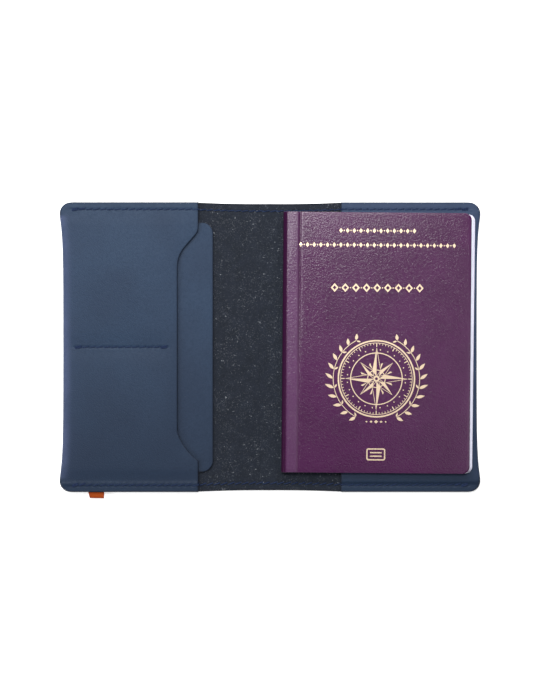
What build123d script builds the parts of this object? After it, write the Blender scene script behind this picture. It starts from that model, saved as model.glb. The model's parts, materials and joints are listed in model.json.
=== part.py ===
from build123d import *
import os

os.makedirs("parts", exist_ok=True)

# A bifold leather passport holder with a passport in it. It lies open on its outer face.
# X runs along the open holder, Y runs up its height, and Z comes out of the inside faces.
# The origin is the middle of the spine, on the outer face. Sizes are in millimetres.

# Outline of the open holder
half_height = 69.75  # middle to the top edge, beside the flaps
spine_half_height = 68.8  # the same at the spine, where the edge dips
dip_x = 35.0  # where the dip starts
half_length = 101.0  # spine to the outer edge, at a corner
waist_half_length = 99.3  # the same along the round part of each long fold
waist_half_height = 46.5  # half of the straight stretch of that fold
flare_half_height = 60.5  # where the edge reaches its full length
flare_radius = 60.0
corner_radius = 5.3
round_fold_half_height = 50.0  # the long fold is round up to here, and pressed flat past it
overshoot = 3.0  # how far a cutting tool runs past the edge

# Creases beside the spine
crease_x = 4.6
crease_gap = 0.1

# Sheets
leather = 1.2
lining = 0.6
panel = 0.8
lining_top = leather + lining

# Seam margin: the flaps are pressed flat outside margin_foot and stand up inside margin_top
margin_foot = 66.0
margin_top = 65.2
panel_lift = 0.2
card_flap_lift = 0.4
passport_flap_lift = 0.7
turn_width = 2.6  # leather turned between cover and flap at the flat ends of a fold

# Card side, left: a card panel under a flap with a scalloped edge
card_flap_base = lining_top + panel
card_fold_radius = (card_flap_base + card_flap_lift + leather) / 2
card_flap_x = -34.5
scallop_x = -44.5
upper_shoulder_y = 55.6
upper_scallop_y = 44.2
upper_shoulder_radius = 5.5
upper_scallop_radius = 15.0
lower_scallop_y = -40.7
lower_curve = (-40.3, -48.8)  # the lower end of the scallop is an arc through this point
lower_shoulder_y = -54.7
tongue_x = -27.4
tongue_half_height = 60.1
tongue_radius = 5.5
panel_step_x = -37.5  # the panel has the holder's full height up to here
panel_outer_x = -96.5

# Passport side, right: one flap, which holds the passport's back cover
passport_fold_radius = (lining_top + passport_flap_lift + leather) / 2
passport_flap_x = 34.2
lining_outer_x = 96.8

# Thread
stitch_pitch = 3.4
thread_width = 0.5
thread_thick = 0.3
thread_stand = 0.35  # how far it stands above the sheet
thread_bottom = 0.02
seam_y = 66.3
seam_outer_x = 95.5
hole_gap = 0.1
crease_clearance = 0.5  # the first hole stands this far from a crease
divider_outer_x = -94.0
divider_inner_x = -49.3
divider_bottom = 1.85

# Ribbon pull tab, sewn into the bottom seam
tab_x = -83.45
tab_width = 7.3
tab_thick = 0.7
tab_base = 1.85
tab_inner_y = -64.0
tab_hinge_y = -70.2
tab_tip_y = -72.75
tab_clearance = 0.4
tab_flat = 0.02  # left flat on the tip, between its two roundings
tab_notch_gap = 0.2

# Passport
passport_height = 125.0
passport_y = 2.1
passport_turn = -0.5  # degrees about its own middle
page_turn = -0.7
turn_x = 52.0
booklet_back = 1.9
booklet_thick = 4.7
cover_board = 0.5
booklet_spine_x = 8.3
cover_edge_x = 96.2
cover_corner_radius = 3.2
groove_x = 13.95
groove_width = 0.9
groove_depth = 0.2
endpaper = 0.06
endpaper_inset = 1.0
leaf_count = 10
leaf_thick = 0.15
leaf_pitch = 0.163
leaf_base = 3.85
leaf_left_x = 9.2
leaf_edge_top_x = 96.9
leaf_edge_bottom_x = 97.9
data_page = 0.45
page_margin = 0.9  # pages stop this far short of the cover, top and bottom
page_corner_radius = 3.2
data_page_gap = 0.06
data_page_short = 0.3  # it stops this far short of the top leaf
sewing_x = 10.2
sewing_pitch = 6.0
sewing_stitches = 17
sewing_stand = 0.05
booklet_front = booklet_back + booklet_thick
page_height = passport_height - 2 * page_margin
leaves_top = leaf_base + leaf_count * leaf_pitch

# Foil on the passport's front cover
foil = 0.06
foil_x = 51.2  # the middle of every foil figure
lozenge_rows = ((55.8, 12, 3.2, 1.5), (49.0, 24, 3.2, 1.5), (28.4, 9, 5.1, 2.6))  # y, count, pitch, side
emblem_y = -15.2
emblem_rings = ((20.9, 0.8), (17.9, 0.4))  # outer radius, width
compass_points = ((0, 16.0), (45, 9.5))  # angle of the first of four, reach
compass_half_width = 1.6
compass_base = 0.9
mark_y = -51.5
mark_length = 9.1
mark_width = 5.8
mark_line = 0.6
mark_bar_length = 5.6
mark_bar_y = 0.85


def block(x, y, z):
    """A box between two limits along each axis."""
    low = (min(x), min(y), min(z))
    size = (abs(x[1] - x[0]), abs(y[1] - y[0]), abs(z[1] - z[0]))
    return Pos(*low) * Box(*size, align=(Align.MIN, Align.MIN, Align.MIN))


def prism(face, low, high):
    return extrude(Pos(0, 0, low) * face, high - low)


def one(shape):
    """The single solid of a shape that is one piece."""
    solids = shape.solids()
    assert len(solids) == 1, len(solids)
    return solids[0]


def write(name, shape):
    shape.label = name
    export_step(shape, f"parts/{name}.step")


def make_outline():
    """The plan of the open holder, with flared corners and a dip across the spine."""
    right_edge = FilletPolyline(
        (dip_x, half_height),
        (half_length, half_height),
        (half_length, flare_half_height),
        (waist_half_length, waist_half_height),
        (waist_half_length, -waist_half_height),
        (half_length, -flare_half_height),
        (half_length, -half_height),
        (dip_x, -half_height),
        radius=[corner_radius] + [flare_radius] * 4 + [corner_radius],
    )
    left_edge = mirror(right_edge, about=Plane.YZ)
    top = ThreePointArc((-dip_x, half_height), (0, spine_half_height), (dip_x, half_height))
    bottom = mirror(top, about=Plane.XZ)
    return make_face(right_edge.edges() + left_edge.edges() + top.edges() + bottom.edges())


outline = make_outline()
far_x = half_length + overshoot
far_y = half_height + overshoot


def sheet(x, z):
    """A flat sheet with the holder's outline, cut at two places along X."""
    return prism(outline, *z) & block(x, (-far_y, far_y), z)


def raised_sheet(face, base, thick, lift):
    """A sheet that lies flat at its top and bottom margins and stands up between them."""
    lower = [
        (-far_y, base),
        (-margin_foot, base),
        (-margin_top, base + lift),
        (margin_top, base + lift),
        (margin_foot, base),
        (far_y, base),
    ]
    upper = [(y, z + thick) for y, z in reversed(lower)]
    section = Plane.YZ * make_face(Polyline(*lower, *upper, close=True))
    span = extrude(section, far_x, both=True)
    return span & prism(face & outline, base - overshoot, base + lift + thick + overshoot)


def round_fold(side, radius):
    """The round stretch of a long fold, from the cover's face to the flap's face."""
    ring = Circle(radius) - Circle(radius - leather)
    outer_half = Pos(side * radius, 0) * Rectangle(2 * radius, 4 * radius)
    centre_x = side * (waist_half_length - radius)
    section = Plane.XZ * Pos(centre_x, radius) * (ring & outer_half)
    return extrude(section, round_fold_half_height, both=True)


def fold_space(side, radius):
    """The block that the round stretch takes out of the cover and the flap."""
    x = (side * (waist_half_length - radius), side * far_x)
    y = (-round_fold_half_height, round_fold_half_height)
    return block(x, y, (-overshoot, 2 * radius + overshoot))


def flat_ends(side, flap_underside, flap):
    """The leather turned between cover and flap, at the two flat ends of a long fold."""
    x = (side * (half_length - turn_width), side * far_x)
    z = (leather, flap_underside)
    strip = prism(outline, *z) & block(x, (-far_y, far_y), z)
    middle = block(x, (-round_fold_half_height, round_fold_half_height), z)
    return strip - middle - flap


def make_card_flap_face():
    """The card flap's plan, with a scallop in its free edge that shows the cards."""
    upper = FilletPolyline(
        (card_flap_x, far_y),
        (card_flap_x, upper_shoulder_y),
        (scallop_x, upper_scallop_y),
        (scallop_x, lower_scallop_y),
        radius=[upper_shoulder_radius, upper_scallop_radius],
    )
    lower_shoulder = (card_flap_x, lower_shoulder_y)
    curve = ThreePointArc((scallop_x, lower_scallop_y), lower_curve, lower_shoulder)
    rest = Polyline(
        lower_shoulder,
        (card_flap_x, -far_y),
        (-far_x, -far_y),
        (-far_x, far_y),
        (card_flap_x, far_y),
    )
    return make_face(upper.edges() + curve.edges() + rest.edges())


def make_card_panel():
    """The panel behind the card flap, with a tongue that shows past the flap's edge."""
    wide = Pos((panel_outer_x + panel_step_x) / 2, 0)
    face = wide * Rectangle(panel_step_x - panel_outer_x, 2 * far_y)
    tongue_length = tongue_x - (panel_step_x + panel_outer_x) / 2
    tongue = Pos(tongue_x - tongue_length / 2, 0)
    face += tongue * RectangleRounded(tongue_length, 2 * tongue_half_height, tongue_radius)
    notch_half_width = tab_width / 2 + tab_notch_gap
    notch_y = (-far_y, tab_inner_y + tab_notch_gap)
    notch_x = (tab_x - notch_half_width, tab_x + notch_half_width)
    notch = block(notch_x, notch_y, (0, lining_top + overshoot))
    return raised_sheet(face, lining_top, panel, panel_lift) - notch


def stitch(start, end, y, low, high):
    """One closed loop of thread through the sheets, from hole to hole along X."""
    x = (start + hole_gap / 2, end - hole_gap / 2)
    inner_x = (x[0] + thread_thick, x[1] - thread_thick)
    inner_z = (low + thread_thick, high - thread_thick)
    width = (y - thread_width / 2, y + thread_width / 2)
    return block(x, width, (low, high)) - block(inner_x, (y - 1, y + 1), inner_z)


def seam(start, end, y, height_at, low=thread_bottom):
    """A row of stitches. The given function tells the top of the sheets at each place."""
    count = round((end - start) / stitch_pitch)
    step = (end - start) / count
    loops = []
    for i in range(count):
        left = start + i * step
        top = height_at(left, left + step) + thread_stand
        loops.append(one(stitch(left, left + step, y, low, top)))
    return Compound(loops)


def left_height(left, right):
    return card_flap_base + leather if left < card_flap_x else lining_top


def right_height(left, right):
    return lining_top + leather if right > passport_flap_x else lining_top


def spine_height(left, right):
    return lining_top


def turned(shape, angle):
    """A passport piece, turned a little about the passport's middle."""
    return Pos(turn_x, passport_y) * Rot(0, 0, angle) * Pos(-turn_x, -passport_y) * shape


def booklet_sheet(left, right, height, low, thick, radius):
    """A page or board: square at the spine, with round corners at its free edge."""
    half = height / 2
    edge = FilletPolyline(
        (left, passport_y - half),
        (right, passport_y - half),
        (right, passport_y + half),
        (left, passport_y + half),
        radius=radius,
    )
    back = Line((left, passport_y + half), (left, passport_y - half))
    return prism(make_face(edge.edges() + back.edges()), low, low + thick)


def make_front_cover():
    low = booklet_front - cover_board
    board = booklet_sheet(
        booklet_spine_x, cover_edge_x, passport_height, low, cover_board, cover_corner_radius
    )
    groove_section = [
        (groove_x - groove_width / 2, booklet_front),
        (groove_x, booklet_front - groove_depth),
        (groove_x + groove_width / 2, booklet_front),
    ]
    section = Plane.XZ * make_face(Polyline(*groove_section, close=True))
    return board - extrude(section, passport_height, both=True)


def make_booklet_spine():
    radius = booklet_thick / 2
    ring = Circle(radius) - Circle(radius - cover_board)
    left_half = Pos(-radius, 0) * Rectangle(2 * radius, 4 * radius)
    centre = Pos(booklet_spine_x, booklet_back + radius)
    bent = extrude(Plane.XZ * centre * (ring & left_half), passport_height / 2, both=True)
    return Pos(0, passport_y, 0) * bent


def make_leaves():
    """The paper leaves, fanned so that the lowest one stands out furthest."""
    leaves = []
    for i in range(leaf_count):
        share = i / (leaf_count - 1)
        edge = leaf_edge_bottom_x + share * (leaf_edge_top_x - leaf_edge_bottom_x)
        low = leaf_base + i * leaf_pitch
        leaf = booklet_sheet(leaf_left_x, edge, page_height, low, leaf_thick, page_corner_radius)
        leaves.append(one(leaf))
    return Compound(leaves)


def make_sewing_thread():
    """Thread loops through the leaves, along the inside of the booklet's spine."""
    low = leaf_base - sewing_stand
    high = leaves_top + sewing_stand
    first = passport_y - sewing_pitch * (sewing_stitches - 1) / 2
    loops = []
    for i in range(sewing_stitches):
        loop = stitch(-sewing_pitch / 2, sewing_pitch / 2, 0, low, high)
        place = Pos(sewing_x, first + i * sewing_pitch, 0) * Rot(0, 0, 90)
        loops.append(one(place * loop))
    return Compound(loops)


def foil_piece(face):
    return prism(face, booklet_front, booklet_front + foil)


def make_foil_rules():
    """Rows of lozenges above the emblem."""
    shapes = []
    for y, count, pitch, side in lozenge_rows:
        for i in range(count):
            x = foil_x + (i - (count - 1) / 2) * pitch
            shapes.append(Pos(x, y) * Rot(0, 0, 45) * Rectangle(side, side))
    return Compound([one(foil_piece(shape)) for shape in shapes])


def make_foil_emblem():
    """A compass rose in two rings."""
    pieces = [Circle(radius) - Circle(radius - width) for radius, width in emblem_rings]
    for first_angle, reach in compass_points:
        base = (compass_base, compass_half_width)
        point = Polyline((base[0], -base[1]), (reach, 0), base, close=True)
        for quarter in range(4):
            place = Rot(0, 0, first_angle + 90 * quarter) * Pos(compass_half_width, 0)
            pieces.append(place * make_face(point))
    return Compound([one(foil_piece(Pos(foil_x, emblem_y) * piece)) for piece in pieces])


def make_foil_mark():
    """A small round-cornered frame with two bars in it."""
    inner_length = mark_length - 2 * mark_line
    inner_width = mark_width - 2 * mark_line
    outer = RectangleRounded(mark_length, mark_width, 1.0)
    shapes = [outer - RectangleRounded(inner_length, inner_width, 0.5)]
    for y in (-mark_bar_y, mark_bar_y):
        shapes.append(Pos(0, y) * Rectangle(mark_bar_length, mark_line))
    return Compound([one(foil_piece(Pos(foil_x, mark_y) * shape)) for shape in shapes])


# Leather: one sheet on the real holder, parted here at the creases and at the folds
spine_x = crease_x - crease_gap
card_flap = raised_sheet(make_card_flap_face(), card_flap_base, leather, card_flap_lift)
passport_flap_face = Pos((passport_flap_x + far_x) / 2, 0)
passport_flap_face *= Rectangle(far_x - passport_flap_x, 2 * far_y)
passport_flap = raised_sheet(passport_flap_face, lining_top, leather, passport_flap_lift)

card_space = fold_space(-1, card_fold_radius)
passport_space = fold_space(1, passport_fold_radius)
card_underside = card_flap_base + card_flap_lift
passport_underside = lining_top + passport_flap_lift

write("cover_left", one(sheet((-far_x, -crease_x), (0, leather)) - card_space))
write("cover_right", one(sheet((crease_x, far_x), (0, leather)) - passport_space))
write("cover_spine", one(sheet((-spine_x, spine_x), (0, leather))))
card_fold = round_fold(-1, card_fold_radius) + flat_ends(-1, card_underside, card_flap)
write("fold_left", one(card_fold))
passport_fold = round_fold(1, passport_fold_radius)
passport_fold += flat_ends(1, passport_underside, passport_flap)
write("fold_right", one(passport_fold))
write("flap_left", one(card_flap - card_space))
write("flap_right", one(passport_flap - passport_space))

# Lining and card panel
write("lining_left", one(sheet((-lining_outer_x, -crease_x), (leather, lining_top))))
write("lining_right", one(sheet((crease_x, lining_outer_x), (leather, lining_top))))
write("lining_spine", one(sheet((-spine_x, spine_x), (leather, lining_top))))
write("card_panel", one(make_card_panel()))

# Seams
side_seam_x = crease_x + crease_clearance
spine_seam_x = crease_x - crease_clearance
for place, y in (("top", seam_y), ("bottom", -seam_y)):
    write(f"thread_{place}_left", seam(-seam_outer_x, -side_seam_x, y, left_height))
    write(f"thread_{place}_spine", seam(-spine_seam_x, spine_seam_x, y, spine_height))
    write(f"thread_{place}_right", seam(side_seam_x, seam_outer_x, y, right_height))


def divider_height(left, right):
    return card_underside + leather


write("thread_divider", seam(divider_outer_x, divider_inner_x, 0, divider_height, divider_bottom))

# Ribbon pull tab: the sewn end, and the loop that flexes
tab_sides = (tab_x - tab_width / 2, tab_x + tab_width / 2)
tab_heights = (tab_base, tab_base + tab_thick)
write("pull_tab_root", block(tab_sides, (tab_inner_y, -half_height), tab_heights))
tab_end = block(tab_sides, (tab_hinge_y - tab_clearance, tab_tip_y), tab_heights)
tip_edges = tab_end.edges().filter_by(Axis.X).group_by(Axis.Y)[0]
write("pull_tab_loop", one(fillet(tip_edges, tab_thick / 2 - tab_flat)))

# Passport
back_cover = booklet_sheet(
    booklet_spine_x, cover_edge_x, passport_height, booklet_back, cover_board, cover_corner_radius
)
write("passport_back_cover", one(turned(back_cover, passport_turn)))
write("passport_front_cover", one(turned(make_front_cover(), passport_turn)))
write("passport_spine_cover", one(turned(make_booklet_spine(), passport_turn)))

endpaper_right = cover_edge_x - endpaper_inset
endpaper_height = passport_height - 2 * endpaper_inset
endpaper_places = (
    ("passport_back_endpaper", booklet_back + cover_board),
    ("passport_front_endpaper", booklet_front - cover_board - endpaper),
)
for name, low in endpaper_places:
    paper = booklet_sheet(
        leaf_left_x, endpaper_right, endpaper_height, low, endpaper, page_corner_radius
    )
    write(name, one(turned(paper, passport_turn)))

write("passport_leaves", turned(make_leaves(), page_turn))
data_low = leaves_top + data_page_gap
data_edge_x = leaf_edge_top_x - data_page_short
data = booklet_sheet(
    leaf_left_x, data_edge_x, page_height, data_low, data_page, page_corner_radius
)
write("passport_data_page", one(turned(data, page_turn)))
write("passport_sewing_thread", turned(make_sewing_thread(), page_turn))

write("foil_rules", turned(make_foil_rules(), passport_turn))
write("foil_emblem", turned(make_foil_emblem(), passport_turn))
write("foil_mark", turned(make_foil_mark(), passport_turn))
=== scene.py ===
import json
import math

import bmesh
import bpy
import numpy as np
from mathutils import Matrix, Vector, noise


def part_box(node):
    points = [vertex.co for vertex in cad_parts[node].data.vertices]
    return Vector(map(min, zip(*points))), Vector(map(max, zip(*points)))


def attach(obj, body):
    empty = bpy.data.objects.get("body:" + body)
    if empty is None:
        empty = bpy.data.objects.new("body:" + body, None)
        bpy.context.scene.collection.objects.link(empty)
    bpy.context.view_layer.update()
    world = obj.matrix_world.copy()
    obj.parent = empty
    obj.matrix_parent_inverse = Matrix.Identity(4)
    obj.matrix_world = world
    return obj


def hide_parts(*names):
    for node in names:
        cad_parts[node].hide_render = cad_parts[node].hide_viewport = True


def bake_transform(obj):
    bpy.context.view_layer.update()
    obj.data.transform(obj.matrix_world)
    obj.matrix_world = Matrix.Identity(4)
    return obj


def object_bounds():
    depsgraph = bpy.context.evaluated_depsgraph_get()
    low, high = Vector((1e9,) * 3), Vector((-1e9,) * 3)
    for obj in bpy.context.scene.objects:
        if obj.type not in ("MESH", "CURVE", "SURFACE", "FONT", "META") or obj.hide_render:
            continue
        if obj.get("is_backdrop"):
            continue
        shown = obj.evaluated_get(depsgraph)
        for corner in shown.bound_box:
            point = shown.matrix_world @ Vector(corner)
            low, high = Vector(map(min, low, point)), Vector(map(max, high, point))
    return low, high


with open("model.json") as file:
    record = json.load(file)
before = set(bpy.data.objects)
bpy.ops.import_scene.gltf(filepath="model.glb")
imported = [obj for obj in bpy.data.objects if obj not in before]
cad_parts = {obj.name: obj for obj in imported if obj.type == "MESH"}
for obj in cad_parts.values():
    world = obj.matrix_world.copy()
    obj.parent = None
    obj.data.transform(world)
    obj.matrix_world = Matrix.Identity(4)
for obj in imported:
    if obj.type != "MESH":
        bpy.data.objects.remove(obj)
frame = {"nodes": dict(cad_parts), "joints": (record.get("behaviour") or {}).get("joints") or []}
cad_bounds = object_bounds()

MM = 0.001

# Places that come from the frame, in millimetres
LEFT_COVER_LOW = np.array(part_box("cover_left")[0]) / MM
HALF_LENGTH = -LEFT_COVER_LOW[0] + 0.4  # the rolled edge swells a little
HALF_HEIGHT = -LEFT_COVER_LOW[1]
SPINE_HALF_HEIGHT = np.array(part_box("cover_spine")[1])[1] / MM
LEATHER = np.array(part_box("cover_left")[1])[2] / MM
LINING_TOP = np.array(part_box("lining_left")[1])[2] / MM
LINING_OUTER_X = np.array(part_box("lining_right")[1])[0] / MM
CARD_FLAP_TOP = np.array(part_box("flap_left")[1])[2] / MM
PASSPORT_FLAP_TOP = np.array(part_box("flap_right")[1])[2] / MM
PASSPORT_FLAP_X = np.array(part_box("flap_right")[0])[0] / MM
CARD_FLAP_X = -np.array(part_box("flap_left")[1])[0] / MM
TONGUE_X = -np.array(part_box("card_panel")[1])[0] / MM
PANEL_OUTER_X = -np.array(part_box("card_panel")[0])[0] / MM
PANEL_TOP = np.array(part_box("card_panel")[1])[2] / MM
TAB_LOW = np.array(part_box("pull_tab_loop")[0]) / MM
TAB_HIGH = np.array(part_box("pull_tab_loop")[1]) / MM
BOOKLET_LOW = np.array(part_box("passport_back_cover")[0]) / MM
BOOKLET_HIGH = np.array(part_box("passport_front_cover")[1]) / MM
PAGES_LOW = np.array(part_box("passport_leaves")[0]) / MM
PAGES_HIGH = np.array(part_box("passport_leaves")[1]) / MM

JOINTS = {joint["name"]: joint for joint in frame["joints"]}
CREASE_X = JOINTS["spine_fold"]["pos_m"][0] / MM

# The outline of the leather
WAIST_HALF_LENGTH = 99.65
FLARE_REACH = 9.5  # how fast the corners' flare dies away towards the middle
CORNER_RADIUS = 5.3
DIP_X = 35.0
SCALLOP_X = 44.5
UPPER_SHOULDER_Y = 55.6
UPPER_SCALLOP_Y = 44.2
LOWER_SCALLOP_Y = -40.7
LOWER_SHOULDER_Y = -54.7
LOWER_BOW = 1.3  # how far the scallop's lower end bows from a straight line
TONGUE_HALF_HEIGHT = 60.1
TONGUE_RADIUS = 5.5
PANEL_STEP_X = 37.5

# Seams
SEAM_Y = 66.3
SEAM_END_X = 95.5
SEAM_STITCHES = 56
UPPER_SLANT = 0.34  # how far a stitch's ends are from the seam's line
LOWER_SLANT = 0.6
DIVIDER_OUTER_X = 94.0
DIVIDER_INNER_X = 49.3
DIVIDER_STITCHES = 13

# Passport
BOOKLET_TURN = math.radians(-0.5)
PAGE_TURN = math.radians(-0.7)
TURN_CENTRE = np.array((52.0, 2.1))
BOOKLET_HALF_HEIGHT = 62.5
BOOKLET_EDGE_X = 96.2
BOOKLET_SPINE_X = 8.3
BOARD = 0.5
GROOVE_X = 13.95
COVER_CORNER = 3.2
PAGE_HALF_HEIGHT = 62.3
PAGE_EDGE_X = 97.9  # of the lowest leaf
PAGE_FAN = 1.1  # the top leaf stops this far short of the lowest


# ---------------------------------------------------------------- camera, light and floor

FRAME_HEIGHT = 0.3367  # what the picture's height spans at the object
LENS = 100.0
SENSOR = 36.0
CAMERA_DISTANCE = FRAME_HEIGHT * LENS / SENSOR
AIM = Vector((0.0, -0.0014, 0.004))


def area_light(name, place, size, power, colour=(1, 1, 1)):
    data = bpy.data.lights.new(name, "AREA")
    data.shape = "RECTANGLE"
    data.size, data.size_y = size
    data.energy = power
    data.color = colour
    light = bpy.data.objects.new(name, data)
    light.location = place
    light.rotation_euler = (AIM - Vector(place)).to_track_quat("-Z", "Y").to_euler()
    bpy.context.scene.collection.objects.link(light)


def make_stage():
    camera_data = bpy.data.cameras.new("camera")
    camera_data.lens = LENS
    camera_data.sensor_fit = "VERTICAL"
    camera_data.sensor_height = SENSOR
    camera_data.clip_start = 0.01
    camera = bpy.data.objects.new("camera", camera_data)
    camera.location = AIM + Vector((0, 0, CAMERA_DISTANCE))
    bpy.context.scene.collection.objects.link(camera)
    bpy.context.scene.camera = camera

    world = bpy.data.worlds.new("studio")
    bpy.context.scene.world = world
    world.use_nodes = True
    background = world.node_tree.nodes["Background"]
    background.inputs["Color"].default_value = (0.96, 0.98, 1.0, 1)
    background.inputs["Strength"].default_value = 0.14
    area_light("window", (-0.06, 0.34, 0.34), (0.9, 0.16), 2.75, (1.0, 0.99, 0.98))
    area_light("sheen", (-0.12, 0.3, 0.95), (0.5, 0.24), 8.8)
    area_light("left_fill", (-0.78, -0.3, 0.4), (0.35, 0.45), 3.0)
    area_light("right_fill", (0.65, -0.1, 0.8), (0.3, 1.2), 1.7)
    bpy.context.scene.view_settings.view_transform = "Standard"

    mesh = bpy.data.meshes.new("floor")
    reach = 3.0
    corners = [(-reach, -reach, 0), (reach, -reach, 0), (reach, reach, 0), (-reach, reach, 0)]
    mesh.from_pydata(corners, [], [(0, 1, 2, 3)])
    floor = bpy.data.objects.new("floor", mesh)
    floor.location.z = -0.00002
    bpy.context.scene.collection.objects.link(floor)
    material, tree, shader = new_material("floor_white")
    shader.inputs["Base Color"].default_value = (0.93, 0.93, 0.93, 1)
    shader.inputs["Roughness"].default_value = 0.9
    shader.inputs["Emission Color"].default_value = (1, 1, 1, 1)
    shader.inputs["Emission Strength"].default_value = 0.55  # a lit table, which softens shadows
    mesh.materials.append(material)
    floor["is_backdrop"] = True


# ---------------------------------------------------------------- materials

def new_material(name):
    material = bpy.data.materials.new(name)
    material.use_nodes = True
    tree = material.node_tree
    return material, tree, tree.nodes["Principled BSDF"]


class Graph:
    """A short way to write a material's nodes."""

    def __init__(self, name, carried=False):
        self.material, self.tree, self.shader = new_material(name)
        if carried:
            self.place = self.node("ShaderNodeTexCoord").outputs["Object"]
        else:
            attribute = self.node("ShaderNodeAttribute", attribute_name="rest")
            self.place = attribute.outputs["Vector"]

    def node(self, kind, **settings):
        made = self.tree.nodes.new(kind)
        for key, value in settings.items():
            setattr(made, key, value)
        return made

    def join(self, source, socket):
        self.tree.links.new(source, socket)

    def feed(self, made, inputs):
        for key, value in inputs.items():
            socket = made.inputs[key]
            if isinstance(value, bpy.types.NodeSocket):
                self.join(value, socket)
            else:
                socket.default_value = value

    def stretched(self, scale, turn=0.0, shift=(0, 0, 0)):
        """The place on the object in millimetres, times a scale along each axis."""
        made = self.node("ShaderNodeMapping")
        factors = [value / MM for value in scale]
        self.feed(made, {"Vector": self.place, "Scale": factors, "Rotation": (0, 0, turn)})
        made.inputs["Location"].default_value = shift
        return made.outputs["Vector"]

    def noise(self, scale, detail=3.0, roughness=0.55, vector=None, distortion=0.0):
        made = self.node("ShaderNodeTexNoise")
        vector = vector or self.stretched((1, 1, 1))
        inputs = {"Vector": vector, "Scale": scale, "Detail": detail, "Roughness": roughness}
        self.feed(made, inputs | {"Distortion": distortion})
        return made.outputs["Fac"]

    def cells(self, scale, feature="SMOOTH_F1", vector=None, output="Distance", randomness=1.0):
        made = self.node("ShaderNodeTexVoronoi", feature=feature)
        vector = vector or self.stretched((1, 1, 1))
        self.feed(made, {"Vector": vector, "Scale": scale, "Randomness": randomness})
        return made.outputs[output]

    def ramp(self, value, low, high, to_low=0.0, to_high=1.0):
        made = self.node("ShaderNodeMapRange", interpolation_type="SMOOTHSTEP")
        inputs = {"Value": value, "From Min": low, "From Max": high}
        self.feed(made, inputs | {"To Min": to_low, "To Max": to_high})
        return made.outputs["Result"]

    def math(self, operation, a, b=0.0):
        made = self.node("ShaderNodeMath", operation=operation)
        for socket, value in zip(made.inputs, (a, b)):
            if isinstance(value, bpy.types.NodeSocket):
                self.join(value, socket)
            else:
                socket.default_value = value
        return made.outputs["Value"]

    def mix(self, factor, a, b):
        made = self.node("ShaderNodeMix", data_type="RGBA")
        for index, value in ((0, factor), (6, a), (7, b)):
            if isinstance(value, bpy.types.NodeSocket):
                self.join(value, made.inputs[index])
            else:
                made.inputs[index].default_value = value
        return made.outputs[2]

    def bump(self, height, distance, strength=1.0, normal=None):
        made = self.node("ShaderNodeBump")
        self.feed(made, {"Height": height, "Distance": distance * MM, "Strength": strength})
        if normal:
            self.join(normal, made.inputs["Normal"])
        return made.outputs["Normal"]

    def attribute(self, name):
        return self.node("ShaderNodeAttribute", attribute_name=name).outputs["Fac"]

    def separate(self):
        made = self.node("ShaderNodeSeparateXYZ")
        self.join(self.stretched((1, 1, 1)), made.inputs["Vector"])
        return made.outputs

    def finish(self, **inputs):
        named = {key.replace("_", " "): value for key, value in inputs.items()}
        self.feed(self.shader, named)
        return self.material


def rgb(red, green, blue):
    """A linear colour from the 0 to 255 values of a display."""
    values = [value / 255 for value in (red, green, blue)]
    return [((v + 0.055) / 1.055) ** 2.4 if v > 0.04 else v / 12.92 for v in values] + [1.0]


def make_leather():
    g = Graph("navy_leather")
    clouds = g.noise(0.035, 4.0)
    mottle = g.noise(0.9, 5.0, 0.65)
    tone = g.mix(g.ramp(clouds, 0.25, 0.75), rgb(34, 48, 68), rgb(38, 54, 75))
    tone = g.mix(g.ramp(mottle, 0.35, 0.75, 0.0, 0.4), tone, rgb(28, 40, 58))
    # Painted shade: the leather darkens towards the bottom.
    lower = g.ramp(g.separate()["Y"], -85.0, 45.0, 0.55, 0.0)
    tone = g.mix(lower, tone, rgb(20, 28, 43))
    # Paler colour: a painted highlight along the rolled fold, together with the fold's wear, and painted light
    # over the right flap that grows towards the top.
    worn_and_lit = g.math("MULTIPLY", g.attribute("wear_and_painted_light"), g.ramp(mottle, 0.2, 0.7, 0.6, 1.0))
    worn_and_lit = g.math("MULTIPLY", worn_and_lit, g.ramp(g.noise(0.06), 0.3, 0.7, 0.65, 1.1))
    tone = g.mix(worn_and_lit, tone, rgb(74, 83, 114))
    # Dark edge paint on the cut edges, and a painted shadow on the card panel beside the flap.
    tone = g.mix(g.attribute("edge_paint_and_shade"), tone, rgb(16, 20, 30))
    pores = g.cells(1.7)
    creases = g.noise(2.6, 6.0, 0.7, distortion=0.6)
    height = g.math("ADD", g.ramp(pores, 0.0, 0.55), g.math("MULTIPLY", creases, 0.8))
    fine = g.bump(g.noise(9.0, 3.0), 0.02, 0.5)
    normal = g.bump(height, 0.07, 0.55, fine)
    rough = g.ramp(mottle, 0.2, 0.8, 0.46, 0.6)
    return g.finish(
        Base_Color=tone, Roughness=rough, Specular_IOR_Level=0.12, Normal=normal
    )


def make_edge_paint():
    g = Graph("edge_paint")
    layers = g.noise(1.2, 4.0, vector=g.stretched((0.6, 0.6, 4.0)))
    tone = g.mix(layers, rgb(20, 25, 38), rgb(38, 44, 60))
    normal = g.bump(layers, 0.05, 0.5)
    return g.finish(Base_Color=tone, Roughness=0.55, Specular_IOR_Level=0.2, Normal=normal)


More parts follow.
